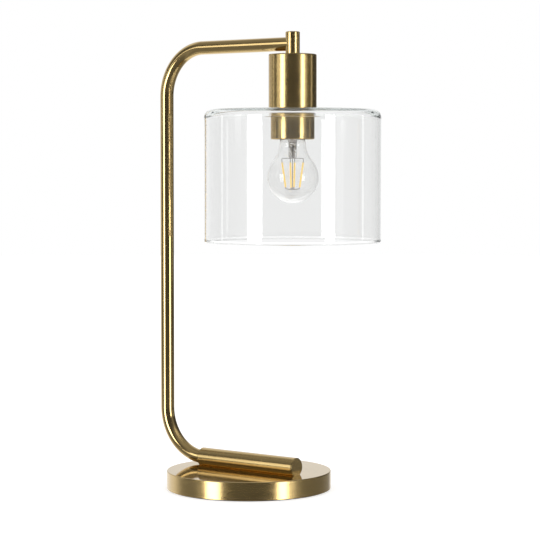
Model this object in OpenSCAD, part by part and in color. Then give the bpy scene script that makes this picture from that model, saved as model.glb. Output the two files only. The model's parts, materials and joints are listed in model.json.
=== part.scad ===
// Arc table lamp: a bent tube held in a bar on a round weighted base carries a
// lamp-holder in a cup, with a clear glass shade clamped under the cup by a
// threaded ring, and a clear filament bulb.
// The origin is the centre of the base's underside. +X runs from the upright
// towards the shade, +Z is up, and all sizes are in millimetres.

/* [Base] */
// Diameter of the round base
base_d = 193; // [180:1:220]
// Height of the base's top above the table
base_h = 22; // [21:0.5:28]
// Thickness of the drawn metal cover
shell_t = 1.5; // [1:0.1:2]
// Radius of the rounded edge round the top of the cover
shell_edge = 1; // [0.5:0.1:1.5]
// Height of the cover's lower edge above the table
shell_lift = 1; // [0.5:0.1:1.4]
// Thickness of the pad that the base stands on
pad_t = 2; // [1.5:0.1:3]
// Width of the wiring channel under the weight
channel_w = 14; // [13:0.5:20]
// Iron left above the wiring channel
channel_roof = 3.5; // [3:0.1:5]
// Length of the terminal block in the channel
block_len = 24; // [18:1:30]

/* [Cord inlet] */
// Bore of the bush that the mains cord passes through
inlet_bore_d = 6.6; // [5:0.1:7.5]
// Wall of the bush
inlet_wall = 1.3; // [1:0.1:1.8]
// Thickness of the bush's outer collar
inlet_collar_t = 1.5; // [1:0.1:3]
// Length of the bush inside the base
inlet_len = 8; // [6:0.5:10]

/* [Bar on the base] */
// Wall of the bar round the tube
bar_wall = 3.3; // [3.1:0.1:6]
// Length of the bar
bar_len = 142; // [136:1:160]
// Depth of the flat under the bar
bar_flat = 2.4; // [1:0.1:2.6]
// Chamfer round both ends of the bar
bar_chamfer = 1; // [0.5:0.1:2]
// Length of straight tube held in the bar
tube_grip = 30; // [22:1:34]
// Distance between the two screws that hold the bar
bar_screw_pitch = 55; // [40:1:58]

/* [Arc tube] */
// Outer diameter of the tube
tube_d = 16; // [14:0.5:18]
// Wall of the tube
tube_wall = 1.2; // [1:0.1:1.8]
// Centreline radius of both bends
bend_r = 56.5; // [45:0.5:70]
// Height of the arm's centreline above the table
arm_z = 519; // [480:1:600]
// Distance between the upright and the shade's axis
reach = 190.5; // [180:0.5:230]

/* [Stem and cup] */
// How much wider the stem is than the tube
stem_extra = 0.5; // [0.4:0.1:4]
// Height of the stem's top above the arm's centreline
stem_rise = 14; // [13:0.5:24]
// Height of the arm's centreline above the cup
stem_drop = 11.8; // [11:0.1:20]
// Thickness of the stem cap's head
stem_cap_t = 1.6; // [1.2:0.1:3]
// Diameter of the cup
cup_d = 55.2; // [52:0.2:64]
// Height of the cup
cup_h = 63; // [60:1:80]
// Wall of the cup
cup_wall = 2.2; // [1.8:0.1:3]
// Thickness of the cup's top
cup_top_t = 2.5; // [2:0.1:4]
// Radius of the cup's rounded edges
cup_edge = 1.5; // [0.5:0.1:1.7]

/* [Glass shade] */
// Diameter of the shade
shade_d = 203.5; // [170:0.5:230]
// Height of the shade
shade_h = 152.4; // [130:0.2:180]
// Wall of the shade
shade_wall = 3; // [2:0.1:4]
// Thickness of the shade's top
shade_top_t = 4.6; // [3.4:0.1:6]
// Outer radius of the shoulder
shoulder_r = 9; // [6:0.5:20]
// Thickness of the fire-polished bead at the rim
rim_bead = 3.8; // [3.2:0.1:5]
// Gap between the shade's hole and the ring's neck
hole_gap = 0.6; // [0.4:0.1:1.5]

/* [Shade ring] */
// Diameter of the ring
ring_d = 50.4; // [48:0.2:51]
// Height of the ring
ring_h = 31.7; // [30:0.1:36]
// Height of the ring's neck above its flange
ring_neck = 2.9; // [1:0.1:3.2]
// Diameter of the flange that carries the glass
flange_d = 62.8; // [56:0.2:70]
// Thickness of the flange
flange_t = 0.8; // [0.6:0.1:1.5]
// Thickness of the washer between flange and glass
washer_t = 0.5; // [0.3:0.1:1]
// Length of the thread in the ring, which is how far it unscrews
ring_thread_h = 10; // [6:0.5:10]
// Depth of the holder's lower end inside the ring
ring_skirt = 11.3; // [9:0.1:13]
// Wall of the ring below its thread
ring_wall = 2.2; // [1.5:0.1:2.6]

/* [Lamp-holder] */
// Diameter of the holder's outer thread
holder_d = 40; // [39:0.1:41]
// Wall between the holder's outer thread and its lamp bore
holder_wall = 5.6; // [4:0.1:5.8]
// Length of the holder's threaded shell
holder_h = 45; // [42:0.5:48]
// Height of the holder's cap
holder_cap_h = 34; // [30:0.5:36]
// Diameter of the threaded nipple
nipple_d = 10; // [9:0.1:11]
// Bore of the nipple
nipple_bore = 7.5; // [6.5:0.1:8]

/* [Bulb] */
// Overall length of the bulb
bulb_len = 105.5; // [98:0.5:112]
// Diameter of the globe
globe_d = 60; // [56:0.5:64]
// Diameter of the screw cap
cap_d = 26; // [25.6:0.1:26.4]
// Height of the cap's metal shell
cap_h = 21; // [19:0.5:23]
// Depth of the bulb's tip inside the holder
socket_depth = 20.5; // [19:0.5:21]
// Radius of the neck where it leaves the globe
neck_r = 15.5; // [14.5:0.1:17]
// Radius of the curve between globe and neck
neck_curve = 30; // [24:1:40]
// Wall of the bulb's glass
bulb_wall = 0.8; // [0.6:0.1:1.2]
// Number of filaments
filament_count = 4; // [3:1:6]
// Length of a filament
filament_len = 31; // [24:0.5:34]
// Diameter of a filament
filament_d = 1.9; // [1.4:0.1:2.6]

/* [Wiring] */
// Diameter of the inner lead
lead_d = 5; // [4:0.1:5.4]

/* [Clearances] */
// Gap between pieces that move past each other
move_gap = 0.3; // [0.2:0.05:0.4]
// Radial gap round a piece that stays in its seat
seat_gap = 0.05; // [0.03:0.01:0.1]

/* [Hidden] */
$fn = 96;
// Overrun of a cut past the face it opens
over = 1;

BRASS = [0.66, 0.52, 0.30];
RAW_BRASS = [0.80, 0.68, 0.40];
STEEL = [0.70, 0.71, 0.73];
IRON = [0.28, 0.28, 0.29];
FOAM = [0.12, 0.12, 0.13];
BOARD = [0.10, 0.22, 0.14];
PHENOLIC = [0.10, 0.09, 0.08];
PORCELAIN = [0.92, 0.91, 0.87];
GLASS = [0.85, 0.92, 0.92, 0.35];
SILICONE = [0.88, 0.88, 0.86];
SHEATH = [0.15, 0.15, 0.15];
PHOSPHOR = [0.95, 0.78, 0.30];

// Base
base_r = base_d / 2;
shell_in_r = base_r - shell_t;
weight_top = base_h - shell_t;
weight_r = shell_in_r - move_gap;
channel_top = weight_top - channel_roof;
cord_z = (pad_t + channel_top) / 2;
inlet_r = inlet_bore_d / 2 + inlet_wall;
inlet_lip = 1;
inlet_lip_x = seat_gap - sqrt(pow(shell_in_r, 2) - pow(inlet_r + inlet_lip, 2));
block_w = channel_w - 2 * move_gap;
block_x1 = -base_r + inlet_len + shell_t + 6 + block_len;
block_x0 = block_x1 - block_len;

// Bar and its screws
tube_r = tube_d / 2;
bar_r = tube_r + bar_wall;
bar_z = base_h + bar_r - bar_flat;
mouth_len = 1.5;
bend_end_x = -bar_len / 2 + mouth_len;
tube_end_x = bend_end_x + tube_grip;
lead_r = lead_d / 2;
lead_turn = 9;
lead_hole_r = lead_r + 2;
lead_x = tube_end_x + lead_turn + lead_hole_r + 1;
screw_r = 3;
screw_head_r = 5;
screw_head_h = 6;
screw_grip = 9;
washer_r = 6.2;
screw_washer_t = 1.6;
counterbore_r = washer_r + move_gap;
counterbore_top = pad_t + screw_head_h + screw_washer_t + move_gap;
bar_screw_x = [lead_x + 20, lead_x + 20 + bar_screw_pitch];
set_screw_r = 2;
set_screw_x = (bend_end_x + tube_end_x) / 2;
set_screw_sink = 0.4;

// Arc tube
upright_x = bend_end_x - bend_r;
head_x = upright_x + reach;
tube_in_r = tube_r - tube_wall;

// Stem, nipple and cup
stem_r = tube_r + stem_extra / 2;
stem_top = arm_z + stem_rise;
cup_top = arm_z - stem_drop;
stem_bore_r = stem_r - 2.2;
stem_floor = cup_top + 5;
head_turn = 7;
nipple_r = nipple_d / 2;
nipple_top = stem_floor;
cup_r = cup_d / 2;
cup_bottom = cup_top - cup_h;
cup_roof = cup_top - cup_top_t;
lock_washer_t = 0.8;
lock_washer_r = 9;
nut_r = 8.1;
nut_t = 3;
nut_bottom = cup_roof - lock_washer_t - nut_t;

// Shade and ring
shade_r = shade_d / 2;
glass_top = cup_bottom - move_gap;
glass_under = glass_top - shade_top_t;
rim_z = glass_top - shade_h;
ring_r = ring_d / 2;
shade_hole_r = ring_r + hole_gap;
washer_top = glass_under - move_gap;
flange_top = washer_top - washer_t;
ring_top = flange_top + ring_neck;
ring_bottom = ring_top - ring_h;
ring_edge = 0.8;

// Lamp-holder
holder_r = holder_d / 2;
holder_bottom = ring_bottom + ring_skirt;
holder_top = holder_bottom + holder_h;
ring_thread_r = holder_r + move_gap;
ring_thread_top = holder_bottom + ring_thread_h;
ring_relief_r = ring_thread_r + 1.7;
lamp_bore_r = holder_r - holder_wall;
socket_floor = holder_bottom + socket_depth + 1.5;
core_r = lamp_bore_r + 1.6;
lip_h = 5;
lip_r = core_r + 2;
core_top = holder_top - lip_h;
holder_cap_top = holder_top + holder_cap_h;
cap_boss_r = 9;
nipple_bottom = holder_cap_top - 10;
terminal_x = 9;
terminal_head_r = 3;
terminal_head_h = 2;
conductor_r = 0.9;
sheath_end = core_top + 13;

// Bulb
cap_r = cap_d / 2;
bulb_tip = holder_bottom + socket_depth;
globe_r = globe_d / 2;
globe_z = bulb_tip - bulb_len + globe_r;
tip_h = 1.5;
insulator_h = 2.5;
cap_top = bulb_tip - tip_h - insulator_h;
cap_bottom = cap_top - cap_h;
cap_wall = 0.5;
cap_shoulder = 2;
insulator_r = 9.5;
tip_r = 4.6;
neck_x = neck_r + neck_curve;
neck_z = globe_z + sqrt(pow(globe_r + neck_curve, 2) - pow(neck_x, 2));
neck_top = cap_bottom + 3.5;
neck_top_r = cap_r - cap_wall - seat_gap;
screw_shell_r = cap_r + move_gap;
screw_shell_t = 0.5;
flare_h = 14;
pillar_r = 4.6;
stem_tip = globe_z + 22;
filament_top = globe_z + 18.5;
filament_top_r = 12.6;
filament_low_r = 8;
wire_r = 0.35;
hub_z = filament_top - filament_len - 1.5;
board_t = 1.6;
first_filament = 26;

// Straight run of round section along X at height z
module run_x(x0, x1, z, r) {
    translate([x0, 0, z]) rotate([0, 90, 0]) cylinder(r = r, h = x1 - x0);
}

// Straight run of round section along Z at distance x
module run_z(z0, z1, x, r) {
    translate([x, 0, z0]) cylinder(r = r, h = z1 - z0);
}

// Quarter bend in the XZ plane about [x, z], from angle start on
module quarter_bend(x, z, bend, start, r) {
    translate([x, 0, z]) rotate([90, 0, 0]) rotate([0, 0, start])
        rotate_extrude(angle = 90) translate([bend, 0]) circle(r = r);
}

// The part of the tube's route that the lead shares: bend, upright, bend
module arc_route(r) {
    quarter_bend(bend_end_x, bar_z + bend_r, bend_r, 180, r);
    run_z(bar_z + bend_r, arm_z - bend_r, upright_x, r);
    quarter_bend(bend_end_x, arm_z - bend_r, bend_r, 90, r);
}

// Ring-shaped disc between two radii
module disc(z0, z1, outer_r, inner_r) {
    difference() {
        run_z(z0, z1, 0, outer_r);
        run_z(z0 - over, z1 + over, 0, inner_r);
    }
}

// Round bar between two heights with chamfered ends
module chamfered_rod(z0, z1, r, c0, c1) {
    rotate_extrude()
        polygon([[0, z0], [r - c0, z0], [r, z0 + c0], [r, z1 - c1], [r - c1, z1], [0, z1]]);
}

// Half outline from the axis out to radius r, with its upper outer corner rounded
module rounded_top_outline(z0, z1, r, corner) {
    translate([0, z0]) square([r, z1 - z0 - corner]);
    translate([0, z0]) square([r - corner, z1 - z0]);
    translate([r - corner, z1 - corner]) intersection() {
        circle(r = corner);
        square(corner);
    }
}

module base_shell() {
    color(BRASS) difference() {
        rotate_extrude() difference() {
            rounded_top_outline(shell_lift, base_h, base_r, shell_edge);
            translate([0, shell_lift - over]) square([shell_in_r, weight_top - shell_lift + over]);
        }
        for (x = bar_screw_x) run_z(weight_top - over, base_h + over, x, screw_r + move_gap);
        run_z(weight_top - over, base_h + over, lead_x, lead_hole_r);
        run_x(-base_r - over, -shell_in_r + over, cord_z, inlet_r + seat_gap);
    }
}

module base_weight() {
    color(IRON) difference() {
        chamfered_rod(pad_t, weight_top, weight_r, 1, 1);
        translate([-weight_r - over, -channel_w / 2, pad_t - over])
            cube([lead_x + lead_hole_r + weight_r + over, channel_w, channel_top - pad_t + over]);
        run_z(channel_top - over, weight_top + over, lead_x, lead_hole_r);
        for (x = bar_screw_x) {
            run_z(pad_t - over, counterbore_top, x, counterbore_r);
            run_z(counterbore_top - over, weight_top + over, x, screw_r + move_gap);
        }
    }
}

module base_pad() {
    color(FOAM) run_z(0, pad_t, 0, weight_r - 1);
}

module cord_bush() {
    color(PHENOLIC) difference() {
        union() {
            run_x(-base_r, -base_r + inlet_len, cord_z, inlet_r);
            run_x(-base_r - inlet_collar_t, -base_r, cord_z, inlet_r + 1.6);
            run_x(inlet_lip_x, inlet_lip_x + inlet_lip, cord_z, inlet_r + inlet_lip);
        }
        run_x(-base_r - inlet_collar_t - over, -base_r + inlet_len + over, cord_z, inlet_bore_d / 2);
    }
}

module terminal_block() {
    well_y = block_w / 4;
    color(PORCELAIN) difference() {
        translate([block_x0, -block_w / 2, pad_t + move_gap])
            cube([block_len, block_w, channel_top - pad_t - move_gap]);
        for (y = [-well_y, well_y]) {
            translate([0, y, 0]) run_x(block_x0 - over, block_x1 + over, cord_z, 1.6);
            for (x = [block_x0 + block_len / 4, block_x1 - block_len / 4])
                translate([0, y, 0]) run_z(pad_t, cord_z, x, 1.9);
        }
    }
}

module block_screws() {
    well_y = block_w / 4;
    color(RAW_BRASS) for (y = [-well_y, well_y], x = [block_x0 + block_len / 4, block_x1 - block_len / 4])
        translate([0, y, 0]) difference() {
            run_z(pad_t + 2, cord_z - 0.6, x, 1.9 - seat_gap);
            translate([x - 3, -0.3, pad_t + 2 - over]) cube([6, 0.6, over + 0.6]);
        }
}

module base_bar() {
    color(BRASS) difference() {
        translate([-bar_len / 2, 0, bar_z]) rotate([0, 90, 0])
            chamfered_rod(0, bar_len, bar_r, bar_chamfer, bar_chamfer);
        translate([-bar_len, -bar_r, base_h - bar_r]) cube([2 * bar_len, 2 * bar_r, bar_r]);
        run_x(-bar_len / 2 - over, tube_end_x, bar_z, tube_r + seat_gap);
        run_x(tube_end_x - over, lead_x + lead_hole_r, bar_z, lead_hole_r);
        run_z(base_h - over, bar_z, lead_x, lead_hole_r);
        for (x = bar_screw_x) run_z(base_h - over, base_h + screw_grip + 1, x, screw_r + seat_gap);
        translate([set_screw_x, tube_r, bar_z]) rotate([-90, 0, 0])
            cylinder(r = set_screw_r + seat_gap, h = bar_wall + over);
    }
}

module bar_screws() {
    head_top = counterbore_top - screw_washer_t;
    color(STEEL) for (x = bar_screw_x) difference() {
        union() {
            run_z(head_top - screw_head_h, head_top, x, screw_head_r);
            run_z(head_top, base_h + screw_grip, x, screw_r);
        }
        translate([x, 0, head_top - screw_head_h - over]) cylinder(r = 2.9, h = over + 3, $fn = 6);
    }
}

module bar_washers() {
    color(STEEL) for (x = bar_screw_x) translate([x, 0, 0])
        disc(counterbore_top - screw_washer_t, counterbore_top, washer_r, screw_r + seat_gap);
}

module tube_set_screw() {
    length = bar_wall - set_screw_sink - seat_gap;
    color(STEEL) translate([set_screw_x, tube_r + seat_gap, bar_z]) rotate([-90, 0, 0]) difference() {
        cylinder(r = set_screw_r, h = length);
        translate([0, 0, length - 1.4]) cylinder(r = 1.1, h = 1.4 + over, $fn = 6);
    }
}

// The tube leaves the bar level, turns up, and turns again over the base. Its
// far end is coped to the stem's side.
module arc_tube() {
    color(BRASS) difference() {
        union() {
            run_x(bend_end_x, tube_end_x, bar_z, tube_r);
            arc_route(tube_r);
            run_x(bend_end_x, head_x, arm_z, tube_r);
        }
        run_x(bend_end_x, tube_end_x + over, bar_z, tube_in_r);
        arc_route(tube_in_r);
        run_x(bend_end_x, head_x + over, arm_z, tube_in_r);
        run_z(cup_top, stem_top, head_x, stem_r + seat_gap);
    }
}

// The lead runs from the terminal block up through the bar and the tube, and
// down the nipple, and its two conductors end under the holder's screws.
module inner_lead() {
    low_x = lead_x - lead_turn;
    color(SHEATH) {
        run_x(block_x1 + seat_gap, low_x, cord_z, lead_r);
        quarter_bend(low_x, cord_z + lead_turn, lead_turn, 270, lead_r);
        run_z(cord_z + lead_turn, bar_z - lead_turn, lead_x, lead_r);
        quarter_bend(low_x, bar_z - lead_turn, lead_turn, 0, lead_r);
        run_x(bend_end_x, low_x, bar_z, lead_r);
        arc_route(lead_r);
        run_x(bend_end_x, head_x - head_turn, arm_z, lead_r);
        quarter_bend(head_x - head_turn, arm_z - head_turn, head_turn, 0, lead_r);
        run_z(sheath_end, arm_z - head_turn, head_x, lead_r);
        for (side = [-1, 1]) conductor(side);
    }
}

// One conductor, from the sheath's end to the head of its terminal screw
module conductor(side) {
    drop = sheath_end - core_top - terminal_head_h - 2 * conductor_r;
    spread = terminal_x - 1;
    translate([head_x + side, 0, sheath_end]) rotate([0, 180 - side * atan2(spread, drop), 0])
        translate([0, 0, -1]) cylinder(r = conductor_r, h = sqrt(drop * drop + spread * spread) + 1);
}

module stem() {
    color(BRASS) difference() {
        run_z(cup_top, stem_top - stem_cap_t, head_x, stem_r);
        run_z(stem_floor, stem_top, head_x, stem_bore_r);
        run_z(cup_top - over, stem_floor + over, head_x, nipple_r + seat_gap);
        run_x(head_x - stem_r - over, head_x, arm_z, lead_r + 1.5);
    }
}

module stem_cap() {
    color(BRASS) translate([head_x, 0, 0]) {
        chamfered_rod(stem_top - stem_cap_t, stem_top, stem_r, 0, 0.8);
        run_z(stem_top - stem_cap_t - 3, stem_top - stem_cap_t, 0, stem_bore_r - seat_gap);
    }
}

module nipple() {
    color(RAW_BRASS) translate([head_x, 0, 0]) disc(nipple_bottom, nipple_top, nipple_r, nipple_bore / 2);
}

// Deep cup that covers the lamp-holder and bears on the glass
module holder_cup() {
    color(BRASS) translate([head_x, 0, 0]) difference() {
        rotate_extrude() difference() {
            rounded_top_outline(cup_bottom, cup_top, cup_r, cup_edge);
            translate([0, cup_bottom - over]) square([cup_r - cup_wall, cup_h - cup_top_t + over]);
            translate([cup_r - cup_edge, cup_bottom]) difference() {
                translate([0, -over]) square([cup_edge + over, cup_edge + over]);
                translate([0, cup_edge]) circle(r = cup_edge);
            }
        }
        run_z(cup_roof - over, cup_top + over, 0, nipple_r + move_gap);
    }
}

module lock_washer() {
    color(STEEL) translate([head_x, 0, 0])
        disc(cup_roof - lock_washer_t, cup_roof, lock_washer_r, nipple_r + move_gap);
}

module lock_nut() {
    color(RAW_BRASS) translate([head_x, 0, nut_bottom]) difference() {
        cylinder(r = nut_r, h = nut_t, $fn = 6);
        translate([0, 0, -over]) cylinder(r = nipple_r + seat_gap, h = nut_t + 2 * over);
    }
}

// Domed top of the holder, screwed on the nipple
module holder_cap() {
    dome_z = holder_cap_top - 14;
    wall = 2.6;
    color(PHENOLIC) translate([head_x, 0, 0]) rotate_extrude() difference() {
        union() {
            translate([0, holder_top]) square([holder_r, dome_z - holder_top]);
            polygon([[0, dome_z], [holder_r, dome_z], [cap_boss_r + 4, holder_cap_top - 6],
                [cap_boss_r, holder_cap_top - 5], [cap_boss_r, holder_cap_top], [0, holder_cap_top]]);
            translate([0, core_top]) square([lip_r - seat_gap, lip_h]);
        }
        translate([0, core_top - over]) square([core_r - 1, lip_h + 2 * over]);
        polygon([[0, holder_top], [core_r - 1, holder_top], [holder_r - wall, holder_top + wall],
            [holder_r - wall, dome_z], [cap_boss_r, nipple_bottom], [0, nipple_bottom]]);
        translate([0, core_top]) square([nipple_r + seat_gap, holder_cap_h + lip_h + over]);
    }
}

module holder_core() {
    color(PORCELAIN) translate([head_x, 0, 0]) difference() {
        chamfered_rod(socket_floor, core_top, core_r - seat_gap, 0, 0.6);
        for (x = [-terminal_x, terminal_x]) run_z(core_top - 8, core_top + over, x, 1.5 + seat_gap);
    }
}

module terminal_screws() {
    color(RAW_BRASS) translate([head_x, 0, 0]) for (x = [-terminal_x, terminal_x]) {
        run_z(core_top - 7, core_top, x, 1.5);
        run_z(core_top, core_top + terminal_head_h, x, terminal_head_r);
    }
}

module screw_shell() {
    color(RAW_BRASS) translate([head_x, 0, 0])
        disc(holder_bottom + 1, socket_floor, screw_shell_r + screw_shell_t, screw_shell_r);
}

// Springy tongue that meets the bulb's tip
module centre_contact() {
    tongue_z = bulb_tip + move_gap;
    leaf_t = 0.5;
    leaf_w = 5;
    color(RAW_BRASS) translate([head_x, -leaf_w / 2, 0]) {
        translate([-9, 0, socket_floor - leaf_t]) cube([5, leaf_w, leaf_t]);
        translate([-4.5, 0, tongue_z]) cube([leaf_t, leaf_w, socket_floor - tongue_z]);
        translate([-4.5, 0, tongue_z]) cube([8, leaf_w, leaf_t]);
    }
}

module holder_shell() {
    color(PHENOLIC) translate([head_x, 0, 0]) rotate_extrude() difference() {
        polygon([[0, holder_bottom], [holder_r - 0.6, holder_bottom], [holder_r, holder_bottom + 0.6],
            [holder_r, holder_top], [0, holder_top]]);
        translate([0, holder_bottom - over]) square([lamp_bore_r, holder_h + 2 * over]);
        translate([0, socket_floor]) square([core_r, holder_h]);
        translate([0, core_top]) square([lip_r, holder_h]);
    }
}

// Straight-sided shade with a flat top, a rounded shoulder, a beaded rim and a
// round hole for the ring's neck
module glass_shade() {
    inner_corner = shoulder_r - shade_wall;
    color(GLASS) translate([head_x, 0, 0]) rotate_extrude() difference() {
        union() {
            rounded_top_outline(rim_z + rim_bead / 2, glass_top, shade_r, shoulder_r);
            translate([shade_r - rim_bead / 2, rim_z + rim_bead / 2]) circle(r = rim_bead / 2);
        }
        rounded_top_outline(rim_z - over, glass_under, shade_r - shade_wall, inner_corner);
        translate([0, glass_under - over]) square([shade_hole_r, shade_top_t + 2 * over]);
    }
}

// Threaded ring: its flange lifts the glass against the cup, and its neck
// centres the hole
module shade_ring() {
    color(BRASS) translate([head_x, 0, 0]) rotate_extrude() difference() {
        union() {
            polygon([[0, ring_bottom], [ring_r - ring_edge, ring_bottom], [ring_r, ring_bottom + ring_edge],
                [ring_r, ring_top - ring_edge], [ring_r - ring_edge, ring_top], [0, ring_top]]);
            translate([0, flange_top - flange_t]) square([flange_d / 2, flange_t]);
        }
        translate([0, ring_bottom - over]) square([ring_r - ring_wall, ring_skirt + over]);
        translate([0, ring_bottom]) square([ring_thread_r, ring_h + over]);
        translate([0, ring_thread_top]) square([ring_relief_r, ring_h]);
    }
}

module flange_washer() {
    color(SILICONE) translate([head_x, 0, 0])
        disc(flange_top, washer_top, flange_d / 2 - 0.6, ring_r + seat_gap);
}

// Half outline of the bulb's glass, shrunk by inset
module bulb_outline(inset) {
    curve = neck_curve + inset;
    tangent_z = globe_z + (neck_z - globe_z) * globe_r / (globe_r + neck_curve);
    intersection() {
        translate([0, globe_z]) circle(r = globe_r - inset);
        translate([0, globe_z - globe_r]) square([globe_r, 2 * globe_r]);
    }
    difference() {
        translate([0, tangent_z]) square([neck_x, neck_z - tangent_z]);
        translate([neck_x, neck_z]) circle(r = curve);
    }
    polygon([[0, neck_z], [neck_r - inset, neck_z], [neck_top_r - inset, cap_bottom],
        [neck_top_r - inset, neck_top], [0, neck_top]]);
}

module bulb_glass() {
    color(GLASS) translate([head_x, 0, 0]) rotate_extrude() difference() {
        bulb_outline(0);
        bulb_outline(bulb_wall);
        translate([0, neck_top - over]) square([neck_top_r - bulb_wall, 2 * over]);
    }
}

module bulb_cap() {
    shoulder_z = cap_top - cap_shoulder;
    color(RAW_BRASS) translate([head_x, 0, 0]) rotate_extrude()
        polygon([[cap_r - cap_wall, cap_bottom], [cap_r, cap_bottom], [cap_r, shoulder_z],
            [insulator_r, cap_top], [insulator_r - cap_wall, cap_top], [cap_r - cap_wall, shoulder_z]]);
}

module bulb_insulator() {
    color(PHENOLIC) translate([head_x, 0, 0]) rotate_extrude()
        polygon([[0, cap_top], [insulator_r, cap_top], [tip_r + 0.6, cap_top + insulator_h],
            [0, cap_top + insulator_h]]);
}

module bulb_contact() {
    color(STEEL) translate([head_x, 0, 0])
        chamfered_rod(bulb_tip - tip_h, bulb_tip, tip_r, 0, 0.7);
}

// Glass mount inside the neck: a flare and the pillar that carries the wires
module bulb_stem() {
    flare_r = neck_top_r - bulb_wall - seat_gap;
    flare_wall = 1;
    color(GLASS) translate([head_x, 0, 0]) rotate_extrude()
        polygon([[0, stem_tip], [pillar_r - 1, stem_tip], [pillar_r, stem_tip + 1],
            [pillar_r, neck_top - flare_h], [flare_r, neck_top - 1], [flare_r, neck_top],
            [flare_r - flare_wall, neck_top], [pillar_r - flare_wall, neck_top - flare_h],
            [0, neck_top - flare_h]]);
}

// Round wire or filament between two points of the bulb's XZ half plane
module wire(from, to, r) {
    dx = to[0] - from[0];
    dz = to[1] - from[1];
    translate([from[0], 0, from[1]]) rotate([0, atan2(dx, dz), 0]) cylinder(r = r, h = sqrt(dx * dx + dz * dz));
}

// Repeats its children once for each filament, round the bulb's axis
module per_filament() {
    translate([head_x, 0, 0]) for (i = [0 : filament_count - 1])
        rotate([0, 0, first_filament + 360 * i / filament_count]) children();
}

module bulb_leads() {
    foot = filament_top - filament_len;
    arm_from = [pillar_r - 2, stem_tip - wire_r - seat_gap];
    arm_to = [filament_top_r, filament_top + 1.6];
    color(STEEL) {
        run_z(hub_z, stem_tip, head_x, wire_r);
        per_filament() {
            wire([0, hub_z + wire_r], [filament_low_r, foot - 0.3], wire_r);
            wire(arm_from, arm_to, wire_r);
            wire(arm_to, [filament_top_r, filament_top], wire_r);
        }
    }
}

module bulb_filaments() {
    color(PHOSPHOR) per_filament()
        wire([filament_low_r, filament_top - filament_len], [filament_top_r, filament_top - 0.1], filament_d / 2);
}

module bulb_driver() {
    board_z = neck_top + seat_gap;
    color(BOARD) translate([head_x, 0, 0]) {
        run_z(board_z, board_z + board_t, 0, neck_top_r - 1);
        run_z(board_z + board_t, board_z + board_t + 7, 3, 3.2);
        translate([-8, -3, board_z + board_t]) cube([5, 6, 4]);
    }
}

base_shell();
base_weight();
base_pad();
cord_bush();
terminal_block();
block_screws();
base_bar();
bar_screws();
bar_washers();
tube_set_screw();
arc_tube();
inner_lead();
stem();
stem_cap();
nipple();
holder_cup();
lock_washer();
lock_nut();
holder_cap();
holder_core();
terminal_screws();
screw_shell();
centre_contact();
holder_shell();
glass_shade();
shade_ring();
flange_washer();
bulb_glass();
bulb_cap();
bulb_insulator();
bulb_contact();
bulb_stem();
bulb_leads();
bulb_filaments();
bulb_driver();
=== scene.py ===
"""The looks of an arc table lamp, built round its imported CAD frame.

Every length is in metres, in the frame's own axes: the origin is the centre of the base's
underside, +X runs from the upright towards the shade, and +Z is up.
"""
import json
import math
import bmesh
import bpy
from mathutils import Matrix, Vector


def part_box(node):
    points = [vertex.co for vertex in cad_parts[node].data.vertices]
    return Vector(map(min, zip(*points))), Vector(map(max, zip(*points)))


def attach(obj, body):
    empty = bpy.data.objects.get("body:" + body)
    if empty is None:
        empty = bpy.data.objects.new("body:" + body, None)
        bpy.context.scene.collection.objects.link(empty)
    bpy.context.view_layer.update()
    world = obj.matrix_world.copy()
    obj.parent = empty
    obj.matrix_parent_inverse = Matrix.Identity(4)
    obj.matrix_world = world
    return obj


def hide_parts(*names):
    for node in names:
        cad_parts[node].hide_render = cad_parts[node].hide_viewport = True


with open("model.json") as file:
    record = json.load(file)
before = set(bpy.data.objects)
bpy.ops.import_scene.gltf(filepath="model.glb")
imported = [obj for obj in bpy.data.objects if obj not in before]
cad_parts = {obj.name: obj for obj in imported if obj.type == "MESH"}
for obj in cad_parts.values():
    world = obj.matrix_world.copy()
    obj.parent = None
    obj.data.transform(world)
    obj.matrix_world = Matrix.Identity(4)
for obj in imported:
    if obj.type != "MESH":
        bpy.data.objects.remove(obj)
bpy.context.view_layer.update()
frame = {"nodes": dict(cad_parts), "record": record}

MM = 0.001
UP = Vector((0, 0, 1))

# Measures read from the frame

def low(node, axis):
    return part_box(node)[0][axis]


def high(node, axis):
    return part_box(node)[1][axis]


def half_width(node):
    return (high(node, 1) - low(node, 1)) / 2


X, Y, Z = 0, 1, 2
HEAD_X = (low("holder_cup", X) + high("holder_cup", X)) / 2
AXIS = Vector((HEAD_X, 0, 0))
ORIGIN = Vector((0, 0, 0))

BASE_R = half_width("base_shell")
BASE_TOP = high("base_shell", Z)
COVER_T = 1.5 * MM
BAR_R = half_width("base_bar")
BAR_X0 = low("base_bar", X)
BAR_X1 = high("base_bar", X)
BAR_Z = high("base_bar", Z) - BAR_R
TUBE_R = half_width("arc_tube")
TUBE_WALL = 1.2 * MM
UPRIGHT_X = low("arc_tube", X) + TUBE_R
ARM_Z = high("arc_tube", Z) - TUBE_R
BEND_R = 56.5 * MM
BEND_END_X = UPRIGHT_X + BEND_R
TUBE_END_X = BEND_END_X + 30 * MM
STEM_R = half_width("stem")
STEM_Z0 = low("stem", Z)
STEM_Z1 = high("stem", Z)
STEM_TOP = high("stem_cap", Z)
CUP_R = half_width("holder_cup")
CUP_Z0 = low("holder_cup", Z)
CUP_Z1 = high("holder_cup", Z)
CUP_WALL = 2.2 * MM
CUP_ROOF = 2.5 * MM
RING_Z0 = low("shade_ring", Z)
RING_Z1 = high("shade_ring", Z)
RING_R = 25.2 * MM
FLANGE_R = half_width("shade_ring")
FLANGE_Z1 = low("flange_washer", Z)
FLANGE_Z0 = FLANGE_Z1 - 0.8 * MM
SHADE_R = half_width("glass_shade")
SHADE_Z0 = low("glass_shade", Z)
SHADE_Z1 = high("glass_shade", Z)
SHADE_WALL = 3 * MM
SHADE_ROOF = 4.6 * MM
SHOULDER_R = 9 * MM
RIM_BEAD = 3.8 * MM
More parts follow.
